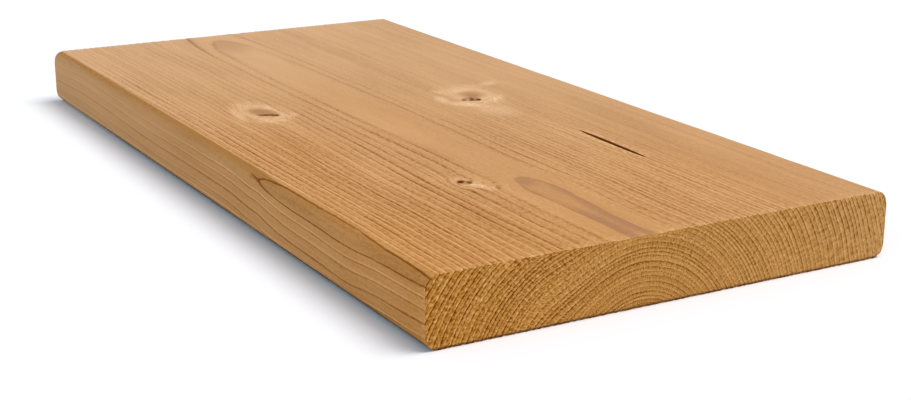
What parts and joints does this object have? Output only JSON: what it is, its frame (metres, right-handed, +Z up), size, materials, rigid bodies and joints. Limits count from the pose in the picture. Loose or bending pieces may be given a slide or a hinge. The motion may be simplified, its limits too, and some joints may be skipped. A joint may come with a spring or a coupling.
{
  "type": "timber plank",
  "caption": "Planed softwood plank with rounded long edges and square-sawn ends, showing raised grain, knots and a drying check, for decking, shelving and general joinery.",
  "frame": {"origin": "middle of the underside of the plank as it lies flat", "axes": "+X across the width, towards the edge nearer the drying check; +Y along the grain, away from the end nearer the drying check; +Z up through the thickness"},
  "size_m": [0.195, 0.4, 0.026],
  "materials": {
    "timber": "planed and brushed bare softwood with raised grain, warm honey brown"
  },
  "bodies": {
    "root": {"plank": "timber"}
  },
  "joints": []
}
